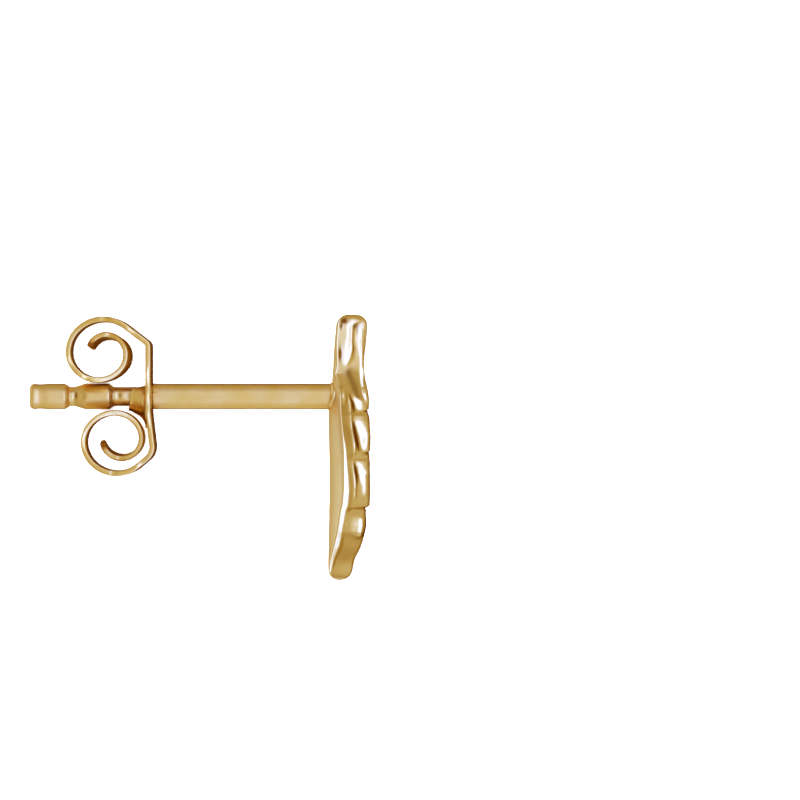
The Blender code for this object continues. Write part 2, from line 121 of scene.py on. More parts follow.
# Half of a section: the back curves to its corner, and from there a wall in bands runs to the front. By
# distance down the feather, in millimetres from the rearmost part of the back: the corner, the start and the
# end of the bright band, and the line where the front begins. Then the wall's lean, in degrees, behind that
# line and before it.
Band = namedtuple("Band", "down corner bright_from bright_to line behind before")
BANDS = (
    Band(0.0, 0.313, 0.333, 0.357, 0.748, 30, 27),
    Band(0.384, 0.313, 0.333, 0.357, 0.748, 30, 27),
    Band(0.588, 0.292, 0.316, 0.34, 0.748, 30, 27),
    Band(0.894, 0.269, 0.292, 0.316, 0.748, 30, 27),
    Band(1.2, 0.265, 0.289, 0.313, 0.748, 29, 28),
    Band(1.472, 0.272, 0.299, 0.323, 0.748, 28, 29),
    Band(1.744, 0.289, 0.313, 0.333, 0.748, 31, 31),
    Band(2.016, 0.211, 0.238, 0.258, 0.612, 33, 41),
    Band(2.288, 0.289, 0.333, 0.36, 0.748, 33, 44),
    Band(2.56, 0.357, 0.391, 0.411, 0.816, 33, 44),
    Band(2.798, 0.374, 0.408, 0.418, 0.748, 35, 35),
    Band(3.036, 0.384, 0.422, 0.428, 0.748, 39, 30),
    Band(3.376, 0.408, 0.442, 0.442, 0.782, 40, 29),
    Band(3.852, 0.428, 0.476, 0.496, 0.782, 40, 30),
    Band(4.124, 0.449, 0.496, 0.537, 0.85, 40, 30),
    Band(4.396, 0.473, 0.517, 0.592, 0.884, 40, 30),
    Band(4.668, 0.49, 0.537, 0.626, 0.884, 39, 29),
    Band(5.076, 0.49, 0.537, 0.653, 0.85, 39, 29),
    Band(5.484, 0.493, 0.541, 0.694, 0.884, 39, 29),
    Band(5.96, 0.49, 0.537, 0.721, 0.918, 38, 29),
    Band(6.436, 0.442, 0.49, 0.687, 0.816, 36, 29),
    Band(6.708, 0.381, 0.428, 0.598, 0.714, 32, 30),
    Band(7.116, 0.32, 0.367, 0.517, 0.612, 30, 29),
    Band(7.388, 0.279, 0.326, 0.476, 0.578, 30, 29),
    Band(7.83, 0.17, 0.218, 0.388, 0.51, 38, 29),
    Band(8.34, 0.048, 0.082, 0.19, 0.272, 38, 29),
    Band(8.748, 0.017, 0.031, 0.095, 0.17, 33, 29),
    Band(9.02, 0.017, 0.024, 0.048, 0.136, 30, 29),
)
BAND_TABLE = np.array(BANDS)
CORNER_LEAN = -28
BRIGHT_LEAN = 14
EDGE_LEAN = 46  # at the very front
EDGE_SHARE = 0.94  # of the wall, from which it leans like that
BAND_SOFT = 0.036  # millimetres over which one lean passes into the next
BACK_STEPS = 16
WALL_STEPS = 64

# The face runs on from the wall to the middle of the front: the share of its half width, the shares of the
# height from rim to crown with barbs and without, and how far the point belongs to the shaft, which no
# split goes through.
Face = namedtuple("Face", "share barbs plain shaft")
FACE = (
    Face(1.00, 0.965, 0.965, 0),
    Face(0.96, 0.990, 0.978, 0),
    Face(0.90, 1.000, 0.985, 0),
    Face(0.78, 0.985, 0.990, 0),
    Face(0.62, 0.930, 0.993, 0),
    Face(0.45, 0.860, 0.996, 0),
    Face(0.30, 0.800, 0.998, 0),
    Face(0.20, 0.760, 0.999, 0),
    Face(0.13, 0.860, 1.000, 1),
    Face(0.05, 0.950, 1.000, 1),
    Face(0.00, 0.970, 1.000, 1),
)
FACE_STEPS = 5
FACE_FROM = 0.965  # share of the height from rim to crown at which the face begins
LEAST_FACE = 0.3  # share of the half width that the wall leaves to the face

# Worked forms on the feather's sides, in millimetres: distance down, distance from the rearmost part of the
# back, height, half widths behind and in front, and how much shade is painted into the gold behind the form,
# as painted shade and painted dim reflection.
Place = namedtuple("Place", "down deep height behind before dark", defaults=(0.044, 0.044, 0))
FORMS = (
    # The quill's rear ridge, from its end down
    (
        Place(0.112, 1.122, 0, 0.204, 0.102), Place(0.18, 1.105, 0.03, 0.17, 0.102),
        Place(0.282, 0.935, 0.037, 0.136, 0.085), Place(0.384, 0.823, 0.037, 0.109, 0.068),
        Place(0.588, 0.802, 0.034, 0.095, 0.061), Place(0.894, 0.789, 0.036, 0.102, 0.061),
        Place(1.2, 0.802, 0.044, 0.15, 0.075), Place(1.472, 0.731, 0.034, 0.122, 0.088),
        Place(1.642, 0.663, 0.016, 0.102, 0.088), Place(1.778, 0.612, 0, 0.102, 0.068),
    ),
    # The pale line in front of it, which goes on down the shaft
    (
        Place(0.452, 1.139, 0, 0.051, 0.068), Place(0.588, 1.129, 0.012, 0.044, 0.102),
        Place(0.894, 1.119, 0.018, 0.051, 0.102), Place(1.2, 1.132, 0.018, 0.058, 0.102),
        Place(1.472, 1.156, 0.014, 0.054, 0.102), Place(1.71, 1.183, 0.02, 0.068, 0.136),
        Place(2.016, 1.197, 0.05, 0.088, 0.272), Place(2.288, 1.183, 0.058, 0.088, 0.272),
        Place(2.56, 1.231, 0.07, 0.088, 0.272), Place(2.764, 1.299, 0.056, 0.075, 0.272),
        Place(2.968, 1.374, 0.034, 0.068, 0.272), Place(3.138, 1.428, 0, 0.102, 0.272),
    ),
    # The facet below the quill: no height, only painted shade
    (
        Place(1.744, 0.918, 0, 0.153, 0.136), Place(1.948, 0.833, 0, 0.153, 0.136, 0.6),
        Place(2.288, 0.966, 0, 0.153, 0.136, 0.55), Place(2.56, 1.068, 0, 0.136, 0.136, 0.55),
        Place(2.798, 1.102, 0, 0.088, 0.102, 0.6), Place(2.9, 1.122, 0, 0.068, 0.068),
    ),
    # The thin line between side and front
    (
        Place(2.56, 0.666, 0), Place(2.764, 0.694, 0.018), Place(2.968, 0.745, 0.025),
        Place(3.172, 0.768, 0.025), Place(3.376, 0.779, 0.023), Place(3.58, 0.779, 0.02),
        Place(3.852, 0.813, 0.02), Place(4.124, 0.867, 0.025), Place(4.396, 0.908, 0.026),
        Place(4.668, 0.918, 0.012), Place(4.872, 0.884, 0.006), Place(5.076, 0.847, 0.019),
        Place(5.314, 0.884, 0.024), Place(5.484, 0.908, 0.025), Place(5.79, 0.932, 0.024),
        Place(6.13, 0.918, 0.016), Place(6.334, 0.884, 0),
    ),
    # Hollows at the tops of the lobes, steep behind and shallow in front
    (
        Place(2.696, 0.765, 0, 0.034, 0.102), Place(2.832, 0.823, -0.05, 0.044, 0.136, 1),
        Place(2.968, 0.911, -0.085, 0.068, 0.17, 1.3), Place(3.172, 0.938, -0.065, 0.068, 0.17, 1.1),
        Place(3.274, 0.932, -0.03, 0.048, 0.204, 0.4), Place(3.41, 0.918, 0, 0.048, 0.17),
    ),
    (
        Place(3.58, 0.867, 0, 0.034, 0.136), Place(3.682, 0.901, -0.03, 0.048, 0.17, 0.9),
        Place(3.852, 0.986, -0.08, 0.082, 0.204, 1.3), Place(4.124, 1.068, -0.11, 0.102, 0.238, 1.4),
        Place(4.294, 1.088, -0.1, 0.095, 0.238, 1.4), Place(4.464, 1.095, -0.06, 0.075, 0.204, 1),
        Place(4.6, 1.088, -0.02, 0.054, 0.17, 0.3), Place(4.702, 1.071, 0, 0.044, 0.136),
    ),
    (
        Place(4.974, 0.884, 0, 0.034, 0.102), Place(5.076, 0.932, -0.02, 0.048, 0.136, 0.4),
        Place(5.212, 1, -0.06, 0.068, 0.184, 1.2), Place(5.348, 1.047, -0.085, 0.082, 0.197, 1.3),
        Place(5.484, 1.054, -0.06, 0.071, 0.156, 1.1), Place(5.654, 1.047, -0.02, 0.054, 0.122, 0.6),
        Place(5.824, 1.02, 0, 0.044, 0.136),
    ),
    # Swellings along the front of the lobes
    (
        Place(3.359, 1.275, 0, 0.374, 0.119), Place(3.444, 1.275, 0.065, 0.374, 0.119),
        Place(3.648, 1.275, 0.07, 0.374, 0.119), Place(3.852, 1.292, 0.025, 0.306, 0.119),
        Place(3.988, 1.292, 0, 0.204, 0.102),
    ),
    (
        Place(4.056, 1.326, 0, 0.136, 0.102), Place(4.26, 1.326, 0.02, 0.136, 0.102),
        Place(4.532, 1.326, 0.02, 0.136, 0.102), Place(4.702, 1.326, 0, 0.136, 0.102),
    ),
    (
        Place(4.889, 1.275, 0, 0.374, 0.119), Place(4.974, 1.275, 0.065, 0.374, 0.119),
        Place(5.144, 1.275, 0.06, 0.34, 0.119), Place(5.28, 1.292, 0.02, 0.272, 0.119),
        Place(5.416, 1.292, 0, 0.204, 0.102),
    ),
    (
        Place(5.416, 1.292, 0, 0.102, 0.102), Place(5.62, 1.292, 0.034, 0.116, 0.102),
        Place(5.892, 1.292, 0.038, 0.116, 0.102), Place(6.062, 1.292, 0.03, 0.102, 0.102),
        Place(6.232, 1.272, 0, 0.102, 0.102),
    ),
    (
        Place(6.776, 1.17, 0, 0.204, 0.119), Place(6.895, 1.17, 0.065, 0.306, 0.119),
        Place(7.116, 1.156, 0.1, 0.34, 0.119), Place(7.354, 1.115, 0.1, 0.34, 0.119),
        Place(7.49, 1.088, 0.045, 0.272, 0.119), Place(7.626, 1.054, 0, 0.17, 0.119),
    ),
    (
        Place(6.844, 1.136, 0, 0.061, 0.082), Place(6.946, 1.129, 0.022, 0.068, 0.082),
        Place(7.15, 1.115, 0.026, 0.068, 0.082), Place(7.388, 1.074, 0.024, 0.068, 0.082),
        Place(7.524, 1.054, 0, 0.061, 0.082),
    ),
    # A lump beside the post's root
    (
        Place(2.424, 0.551, 0, 0.061, 0.051), Place(2.56, 0.554, 0.018, 0.061, 0.051),
        Place(2.764, 0.578, 0.036, 0.095, 0.068), Place(2.9, 0.578, 0.026, 0.082, 0.068),
        Place(3.036, 0.544, 0, 0.068, 0.068),
    ),
)

# Small mounds and hollows, in millimetres: where they are, half sizes and height, and how much shade is
# painted on them
Mound = namedtuple("Mound", "deep down across along height dark")
MOUNDS = (
    Mound(0.561, 0.214, 0.109, 0.088, -0.008, 1.5),
    Mound(0.456, 0.384, 0.044, 0.102, -0.006, 1.2),
    Mound(0.415, 1.336, 0.051, 0.221, -0.008, 1.6),
    Mound(0.952, 0.384, 0.122, 0.095, -0.014, 0.8),
    Mound(0.85, 1.2, 0.037, 0.119, -0.004, 0.4),
    Mound(1.003, 0.554, 0.037, 0.102, -0.004, 0.35),
    Mound(0.19, 2.798, 0.054, 0.170, 0, 0.8),
    Mound(0.442, 2.458, 0.068, 0.085, -0.006, 0.3),
    Mound(0.51, 3.172, 0.102, 0.136, 0, 0.15),
    Mound(0.663, 7.116, 0.031, 0.061, 0.006, 0),
    Mound(0.632, 7.32, 0.031, 0.054, 0.006, 0),
)

DARK_BEHIND = 1.0  # of a form's half width behind: how far behind it the painted shade is deepest
DARK_REACH = 0.8  # and how far from there the painted shade reaches
FORMS_TURN = (0.05, 0.45)  # Z of the surface's normal, between which the forms come up
DARK_TURN = (0.0, 0.2)  # and between which the painted shade does
LEAST_NORMAL = 1e-12  # keeps a point without a normal from a division by zero

# Grooves between the barbs of the face
BARB_PITCH = 0.3 * MM
BARB_SLOPE = 0.9  # how far a barb runs down for its run outwards
BARB_GROOVE = 0.03 * MM
BARB_NARROWING = 3  # the higher, the narrower the grooves
BARB_DARK = 0.4  # how much shade is painted at the bottom of a groove
BARBS_BEGIN = (0.14, 0.26)  # shares of the face's half width between which the grooves begin at the shaft
BARBS_END = 0.93  # share at which they have faded out at the wall
BARBS_FADE = 0.2  # and the share over which they do

# How the strip is rolled, one row a bend: its radius as a share of the curl's radius, the degrees that it
# turns by, and the straight run before it, a share of that radius too.
Bend = namedtuple("Bend", "radius turn run", defaults=(45, 0))
UPPER_EAR_ANGLE = 52.5  # the turn from the base into the upper ear
UPPER_BENDS = (
    Bend(1.12, 37.5), Bend(1.07), Bend(0.92), Bend(0.80), Bend(0.88), Bend(0.88), Bend(0.68),
    Bend(0.61), Bend(0.58), Bend(0.54, 71),
)
LOWER_BENDS = (
    Bend(0.10, -6.5), Bend(0.49, 56, 1.14), Bend(1.16, 40, 0.32), Bend(1.10), Bend(0.97), Bend(0.91),
    Bend(1.02), Bend(0.91), Bend(0.78), Bend(0.66), Bend(0.65), Bend(0.63, 79),
)
BEND_STEP = 2.5  # degrees between two points of a bend
STRIP_STEP = 0.08 * MM  # at most, between two points of a straight run
HELD_SHARE = 0.12  # share of a curl's length before it starts to narrow
UPPER_LEAN_SHARE = 0.55  # share of the curl's length before it leans
UPPER_DROOP_SHARE = 0.70  # and before it droops
LOWER_DROOP_SHARE = 0.78
LEAN_RUN_SHARE = 0.2  # share of the curl's length in which it comes to its full lean or droop
EDGE_ROUND = 0.065 * MM  # of the strip's long edges
EDGE_STEPS = 7
END_ROUND_SHARE = 0.35  # of the strip's thickness, at its ends
END_STEPS = 6

# Spots rubbed bright on the clutch's edges, in millimetres: place from the middle of the base and from the
# post's axis, and reach.
Rub = namedtuple("Rub", "x y reach")
RUBS = (
    Rub(-0.002, 0.69, 0.30),
    Rub(0.015, -0.03, 0.20),
    Rub(0.049, -0.732, 0.30),
    Rub(-0.512, 2.43, 0.27),
    Rub(-2.756, 1.07, 0.31),
    Rub(-2.212, 0.56, 0.17),
    Rub(-2.178, -1.48, 0.31),
    Rub(-1.26, -2.585, 0.14),
    Rub(-0.274, -2.296, 0.20),
    Rub(-1.396, 2.141, 0.20),
    Rub(-1.056, -2.16, 0.17),
    Rub(-1.532, 2.719, 0.17),
)
RUB_SLOPE = 0.26  # how steep a rubbed spot is towards +X
RUB_TURN = 0.5  # and the share of that towards -Y

# The collar round the hole, a sleeve with a gap at the top of the post. Its wall thins out.
COLLAR_FROM = 50  # degrees from the top of the post, to as far short of it on the other side
COLLAR_STEPS = 96  # round the post
COLLAR_ARC_STEPS = 18  # along the sleeve
COLLAR_THIN = 0.25  # share of the wall at its edges
COLLAR_THINNING = 0.6  # the higher, the further from its cut edges the wall is thin
COLLAR_THIN_FROM = 60  # degrees of the sleeve's arc, from which the wall thins out to its free end
COLLAR_SHORT = 0.8  # share of the length at the cut edges
COLLAR_NARROW = 0.35  # share of the flare there

# A groove's outline: how far along it, and how deep as a share of its full depth.
GROOVE = (
    (0.0, 0.0), (0.10, 0.35), (0.22, 0.88), (0.34, 1.0), (0.46, 0.98), (0.60, 0.75), (0.76, 0.42),
    (0.90, 0.12), (1.0, 0.0),
)
LONG_GROOVE = (
    (0.0, 0.0), (0.05, 0.45), (0.10, 0.92), (0.16, 1.0), (0.5, 1.0), (0.84, 1.0), (0.90, 0.92),
    (0.95, 0.45), (1.0, 0.0),
)

# A shallow waist beside the post's rounded end, left by the tool that rounded it
TIP_STEP = 0.018 * MM
TIP_STEP_LENGTH = 0.5 * MM
TIP_BAND = ((0.0, 0.0), (0.12, 0.3), (0.3, 1.0), (0.5, 1.0), (0.8, 0.3), (1.0, 0.0))

# Marks of the tool on the post, in millimetres: distance from its free end, height above its axis, half sizes
# and depth, and how much shade is painted there. Those with no depth are only painted shade.
Dent = namedtuple("Dent", "along up half_along half_up depth dark")
DENTS = (
    Dent(1.53, 0.03, 0.060, 0.130, 0.030, 0),
    Dent(1.591, 0.03, 0.042, 0.130, 0, 1.0),
    Dent(1.37, 0.016, 0.041, 0.136, 0.012, 0),
    Dent(1.836, 0.016, 0.070, 0.136, 0.028, 0.3),
    Dent(3.02, 0.02, 0.060, 0.130, 0.030, 0),
    Dent(3.075, 0.05, 0.040, 0.110, 0, 0.9),
    Dent(2.805, -0.018, 0.061, 0.119, 0.016, 0.4),
    Dent(3.383, 0.016, 0.080, 0.153, 0.030, 0.3),
    Dent(4.233, 0.152, 0.102, 0.054, 0.012, 0.4),
)

POST_ROW = 0.05 * MM  # at most, between two rows of the post
POST_SIDES = 120
POST_END_STEPS = 12
PROFILE_STEPS = 8  # between two points of a groove's outline

# The bead of solder round the post
BEAD_HALF_WIDTH = 0.62 * MM
BEAD_HALF_HEIGHT = 0.42 * MM
BEAD_RADIUS = 0.12 * MM  # at the sides of the post
BEAD_THIN_RADIUS = 0.03 * MM  # above and below it
BEAD_LUMPS = 0.4  # share of the radius by which it swells and shrinks
BEAD_LUMP_RATE = 2.2  # the higher, the more lumps there are
BEAD_LUMP_SEED = 0.3  # another value gives other lumps
BEAD_ROUNDS = 160
BEAD_SIDES = 20

# Degrees between two faces from which their shared edge is sharp
FEATHER_SHARP = 70
POST_SHARP = 40
BEAD_SHARP = 60
CLUTCH_SHARP = 40

# The camera looks straight down at the point that is in the middle of the photo
LOOK_AT = (6.80 * MM, 1.61 * MM, 1.5 * MM)
CAMERA_DISTANCE = 300 * MM
FRAME_WIDTH = 27.2 * MM
SENSOR_WIDTH = 36.0  # millimetres of film, as cameras count them
CLIP = (0.01, 10.0)  # metres

FLOOR_REACH = 2.0  # metres from its middle to each side
FLOOR_COLOUR = (0.9, 0.9, 0.9)
FLOOR_ROUGHNESS = 0.9
SUN_ANGLE = 14  # degrees across
SUN_STRENGTH = 9.0

# Colours of the gold, of the shade painted into its hollows and of its glancing edges
LIGHT_GOLD = (0.94, 0.73, 0.38)
DEEP_GOLD = (0.91, 0.67, 0.31)
RICH_GOLD = (0.88, 0.61, 0.21)
PALE_GOLD = (0.98, 0.84, 0.54)
SOFT_GOLD = (0.96, 0.80, 0.48)
# painted shade and painted dim reflection, laid in hollows, creases and the tool's marks
PAINTED_SHADE_GOLD = (0.30, 0.10, 0.004)
EDGE_GOLD = (0.95, 0.72, 0.36)

# Least and greatest roughness, strength of the waves and of the scratches, width of the scratches, how many
# times as long as wide all of them are, whether the finish takes the painted shade, and the two tones.
Finish = namedtuple("Finish", "roughness waves scratches scratch_size drawn recess tones")
FINISHES = {
    "polished_gold": Finish((0.12, 0.20), 0.2, 0.25, 0.02 * MM, 1, True, (DEEP_GOLD, LIGHT_GOLD)),
    "satin_gold": Finish((0.38, 0.46), 0.15, 0.5, 0.012 * MM, 1, True, (SOFT_GOLD, PALE_GOLD)),
    "drawn_gold": Finish((0.28, 0.38), 0.5, 1.0, 0.02 * MM, 30, True, (RICH_GOLD, DEEP_GOLD)),
    "stamped_gold": Finish((0.20, 0.30), 0.5, 0.3, 0.02 * MM, 1, False, (RICH_GOLD, DEEP_GOLD)),
}
TONE_SIZE = 0.9 * MM
TONE_LIMITS = (0.35, 0.65)  # values of the noise between which the tone changes
SMUDGE_SIZE = 0.3 * MM
SMUDGE_LIMITS = (0.3, 0.7)  # and between which the roughness does
WAVE_SIZE = 0.4 * MM
WAVE_HEIGHT = 0.02 * MM
SCRATCH_HEIGHT = 0.002 * MM

# Levels of the sky from straight down to straight up
SKY = ((-1.0, 0.12), (-0.7, 0.16), (-0.2, 0.29), (0.2, 0.52), (0.6, 0.57), (1.0, 0.55))
GREEN_FALL = 1.65  # the powers of a level that its green and its blue are
BLUE_FALL = 3.65

# A panel goes round an axis, its middle that many degrees from straight up, towards +X for Y and +Y for X.
# lean is how far it lies from that circle, towards +Y for Y and +X for X. The rest are half widths, how wide
# its soft edges are, and its level.
Panel = namedtuple("Panel", "axis middle lean half half_lean soft level")
PANELS = (
    Panel("Y", 100, 0, 22, 60, 16, 0.36),
    Panel("X", 80, 15, 48, 40, 20, 0.47),
    Panel("X", -45, 0, 95, 18, 16, 0.66),
    Panel("Y", -150, 0, 24, 55, 16, 0.48),
    Panel("Y", -112, 0, 26, 55, 16, 0.70),
    Panel("Y", 26, 4, 20, 68, 16, 0.74),
    Panel("Y", 24, -4, 12, 58, 12, 1.10),
)


def between(a, b, share):
    return a + (b - a) * share


def eased_step(value, low, high):
    """0 below low, 1 above high, and a soft rise between them."""
    share = np.clip((value - low) / (high - low), 0, 1)
    return share * share * (3 - 2 * share)


def spline(p0, p1, p2, p3, share):
    """Catmull-Rom value between p1 and p2."""
    bend = 2 * p0 - 5 * p1 + 4 * p2 - p3
    twist = 3 * p1 - p0 - 3 * p2 + p3
    return p1 + 0.5 * share * (p2 - p0 + share * (bend + share * twist))


def eased(rows, steps):
    """Rows of numbers with others eased in between them."""
    rows = [np.array(row, float) for row in rows]
    last = len(rows) - 1
    out = []
    for i in range(last):
        around = [rows[max(0, min(last, i + step))] for step in (-1, 0, 1, 2)]
        count = steps(rows[i], rows[i + 1]) if callable(steps) else steps
        out += [spline(*around, k / count) for k in range(count)]
    return out + [rows[last]]


def about_post(along, radius, angle):
    """That far along the post's axis and out from it, at an angle from its top."""
    return Vector((along, radius * math.cos(angle), radius * math.sin(angle)))


def tube_faces(rows, count, closed=False):
    """Faces between rows of count points each. A closed tube joins its last row to its first."""
    faces = []
    for row in range(rows if closed else rows - 1):
        here = row * count
        there = (row + 1) % rows * count
        for i in range(count):
            after = (i + 1) % count
            faces.append((here + i, here + after, there + after, there + i))
    if not closed:
        faces += [tuple(range(count)), tuple(range((rows - 1) * count, rows * count))]
    return faces


def new_mesh(name, points, faces):
    mesh = bpy.data.meshes.new(name)
    mesh.from_pydata([tuple(point) for point in points], [], faces)
    bm = bmesh.new()
    bm.from_mesh(mesh)
    bmesh.ops.recalc_face_normals(bm, faces=bm.faces[:])
    bm.to_mesh(mesh)
    bm.free()
    return mesh


def linked(name, data):
    obj = bpy.data.objects.new(name, data)
    bpy.context.scene.collection.objects.link(obj)
    return obj


def smooth(mesh, sharp):
    mesh.shade_smooth()
    mesh.set_sharp_from_angle(angle=math.radians(sharp))


def new_piece(name, mesh, materials, sharp):
    smooth(mesh, sharp)
    for material in materials:
        mesh.materials.append(material)
    return linked(name, mesh)


def mark_painted_shade(mesh, painted_shades):
    """Keeps how much painted shade each point gets, for the material."""
    attribute = mesh.attributes.new("recess", "FLOAT", "POINT")
    attribute.data.foreach_set("value", np.clip(painted_shades, 0, 1).astype(np.float32))


# Materials


def opaque(colour):
    return (*colour, 1)


class Nodes:
    """Short calls for the nodes of a material or of a world."""

    def __init__(self, owner, place):
        owner.use_nodes = True
        self.tree = owner.node_tree
        self.place = self.made("TexCoord", {}).outputs[place]

    def made(self, kind, inputs, **settings):
        """A node with these settings, and with values or other nodes' results for its inputs."""
        node = self.tree.nodes.new("ShaderNode" + kind)
        for name, value in settings.items():
            setattr(node, name, value)
        for name, value in inputs.items():
            if isinstance(value, bpy.types.NodeSocket):
                self.tree.links.new(value, node.inputs[name])
            else:
                node.inputs[name].default_value = value
        return node

    def maths(self, operation, *values):
        return self.made("Math", dict(enumerate(values)), operation=operation).outputs[0]

    def parts(self, vector):
        return self.made("SeparateXYZ", {0: vector}).outputs

    def noise(self, size, detail, roughness, drawn=1):
        """Noise whose spots are about size wide, and drawn times as long in X."""
        scale = (1 / (size * drawn), 1 / size, 1 / size)
        mapping = self.made("Mapping", {"Vector": self.place, "Scale": scale})
        inputs = {"Vector": mapping.outputs[0], "Scale": 1, "Detail": detail, "Roughness": roughness}
        return self.made("TexNoise", inputs).outputs["Fac"]

    def ranged(self, source, limits, results=(0, 1)):
        """The first result up to the first limit, the second from the second, and a soft change between."""
        names = ("Value", "From Min", "From Max", "To Min", "To Max")
        inputs = dict(zip(names, (source, *limits, *results)))
        return self.made("MapRange", inputs, interpolation_type="SMOOTHSTEP").outputs["Result"]

    def mixed(self, share, a, b):
        """Colour a, and b by that share."""
        return self.made("Mix", {"Factor": share, 6: a, 7: b}, data_type="RGBA").outputs[2]

    def bump(self, height, distance, strength, **under):
        inputs = {"Height": height, "Distance": distance, "Strength": strength, **under}
        return self.made("Bump", inputs).outputs["Normal"]


def gold(name, finish):
    """Gold with soft waves left by polishing, fine scratches and slight changes of tone, and with painted
    shade where the finish takes it.
    """
    material = bpy.data.materials.new(name)
    nodes = Nodes(material, "Object")
    tone = nodes.ranged(nodes.noise(TONE_SIZE, detail=3, roughness=0.5), TONE_LIMITS)
    colour = nodes.mixed(tone, *map(opaque, finish.tones))
    # Painted shade: the gold is mixed towards dark brown where the mesh's attribute says so
    if finish.recess:
        recess = nodes.made("Attribute", {}, attribute_name="recess").outputs["Fac"]
        colour = nodes.mixed(recess, colour, opaque(PAINTED_SHADE_GOLD))
    smudges = nodes.noise(SMUDGE_SIZE, detail=4, roughness=0.6, drawn=finish.drawn)
    waves = nodes.noise(WAVE_SIZE, detail=1, roughness=0.4, drawn=finish.drawn)
    scratches = nodes.noise(finish.scratch_size, detail=2, roughness=0.7, drawn=finish.drawn)
    waved = nodes.bump(waves, WAVE_HEIGHT, finish.waves)
    shader = nodes.tree.nodes["Principled BSDF"]
    shader.inputs["Metallic"].default_value = 1.0
    shader.inputs["Specular Tint"].default_value = opaque(EDGE_GOLD)
    for socket, result in (
        ("Base Color", colour),
        ("Roughness", nodes.ranged(smudges, SMUDGE_LIMITS, finish.roughness)),
        ("Normal", nodes.bump(scratches, SCRATCH_HEIGHT, finish.scratches, Normal=waved)),
    ):
        nodes.tree.links.new(result, shader.inputs[socket])
    return material


# Feather


def rows_between(above, below):
    return max(LEAST_ROWS, math.ceil((below[0] - above[0]) * FEATHER_LENGTH / ROW_SPACING))


def feather_rows():
    """Sections close together down the feather, each with its share of the split between two lobes."""
    rows = []
    for lobe in LOBES:
        dense = eased(lobe, rows_between)
        if rows:
            above = rows[-1][0]
            for share in SPLIT_SHARES:
                cut = math.sin(math.pi * share) ** SPLIT_NARROWING
                rows.append((between(above, dense[0], share), cut, 0.0))
        rows += [(row, 0.0, 0.0) for row in dense]
    return rows


def end_rows(rows, end, radius, downwards):
    """Sections that round off one end of the feather, from its flat cap inwards, and their insets."""
    table = np.array([entry[0] for entry in rows])
    ends = []
    for i in range(END_ROWS):
        angle = math.pi / 2 * i / END_ROWS
        down = end + downwards * radius * (1 - math.cos(angle)) / FEATHER_LENGTH
        row = [down] + [np.interp(down, table[:, 0], column) for column in table.T[1:]]
        ends.append((row, 0.0, radius * (1 - math.sin(angle))))
    return ends


def band_leans(band, deep, last):
    """The wall's lean at each distance from the back."""
    lean = np.full(deep.shape, float(CORNER_LEAN))
    for at, after in (
        (band.bright_from, BRIGHT_LEAN),
        (band.bright_to, band.behind),
        (band.line, band.before),
        (between(deep[0], last, EDGE_SHARE), EDGE_LEAN),
    ):
        lean = between(lean, after, eased_step(deep, at - BAND_SOFT / 2, at + BAND_SOFT / 2))
    return lean


def half_section(row, cut, inset):
    """Points of a section from the middle of the back round to the middle of the front."""
    down, width, back, rim, crown, relief = row
    half = width * FEATHER_WIDTH / 2
    depth = FEATHER_DEPTH / MM
    place = down * FEATHER_LENGTH / MM
    band = Band(*(np.interp(place, BAND_TABLE[:, 0], column) for column in BAND_TABLE.T))
    last = between(rim, crown, FACE_FROM) * depth
    deep = np.linspace(max(band.corner, back * depth), last, WALL_STEPS + 1)
    slope = np.tan(np.radians(band_leans(band, deep, last)))
    fallen = np.concatenate([[0], np.cumsum((slope[1:] + slope[:-1]) / 2 * np.diff(deep))])
    fallen -= fallen.min()
    fallen *= min(1, (1 - LEAST_FACE) * half / MM / fallen[-1])
    in_front = eased_step(deep, band.line - 2 * BAND_SOFT, band.line + 2 * BAND_SOFT)
    across = half / MM - fallen - cut * in_front * SPLIT_DIP / MM
    notch = cut * SPLIT_DEPTH / MM
    points = []
    for k in range(BACK_STEPS):
        share = k / BACK_STEPS
        points.append((between(back * depth, deep[0], share ** 2), share * across[0]))
    to_front = np.clip((deep - band.line) / (last - band.line), 0, 1)
    points += zip(deep - notch * to_front ** SPLIT_TO_FRONT, across)
    for share, barbs, plain, shaft in eased(FACE, FACE_STEPS)[1:]:
        height = between(rim, crown, between(plain, barbs, relief)) * depth
        points.append((height - notch * (1 - shaft), max(0, share) * across[-1]))
    # Placed in the feather, and drawn in towards the middle of the section by the inset
    edge_y = POST_BELOW_QUILL_END - down * FEATHER_LENGTH
    sweep = BARB_SWEEP * math.sin(math.pi * down) ** 2
    middle = between(back, crown, 0.5) * depth
    kept_depth = 1 - inset / MM / ((crown - back) * depth / 2)
    kept_width = 1 - inset / half
    section = []
    for x, z in points:
        y = edge_y + sweep * (1 - z * MM / half)
        section.append((between(middle, x, kept_depth) * MM, y, z * kept_width * MM))
    return section


def grid_normals(grid):
    """Unit normals of a grid of points, pointing out of the feather."""
    normals = np.cross(np.gradient(grid, axis=0), np.gradient(grid, axis=1))
    return normals / np.maximum(np.linalg.norm(normals, axis=2, keepdims=True), LEAST_NORMAL)


def worked_forms(grid):
    """How far the worked forms move each point of the grid, and how much shade is painted there."""
    x = grid[:, :, 0] / MM
    y = (POST_BELOW_QUILL_END - grid[:, :, 1]) / MM
    height = np.zeros(x.shape)
    dark = np.zeros(x.shape)
    for form in FORMS:
        table = np.array(form)
        # the last column, tone here, is the shade painted behind a form
        centre, high, behind, before, tone = (np.interp(y, table[:, 0], column) for column in table.T[1:])
        away = x - centre
        height += high * np.exp(-(away / np.where(away < 0, behind, before)) ** 2)
        dark += tone * np.exp(-((away + DARK_BEHIND * behind) / (DARK_REACH * behind)) ** 2)
    for mound in MOUNDS:
        across = (x - mound.deep) / mound.across
        along = (y - mound.down) / mound.along
        near = np.exp(-across ** 2 - along ** 2)
        height += mound.height * near
        dark += mound.dark * near
    return height * MM, dark


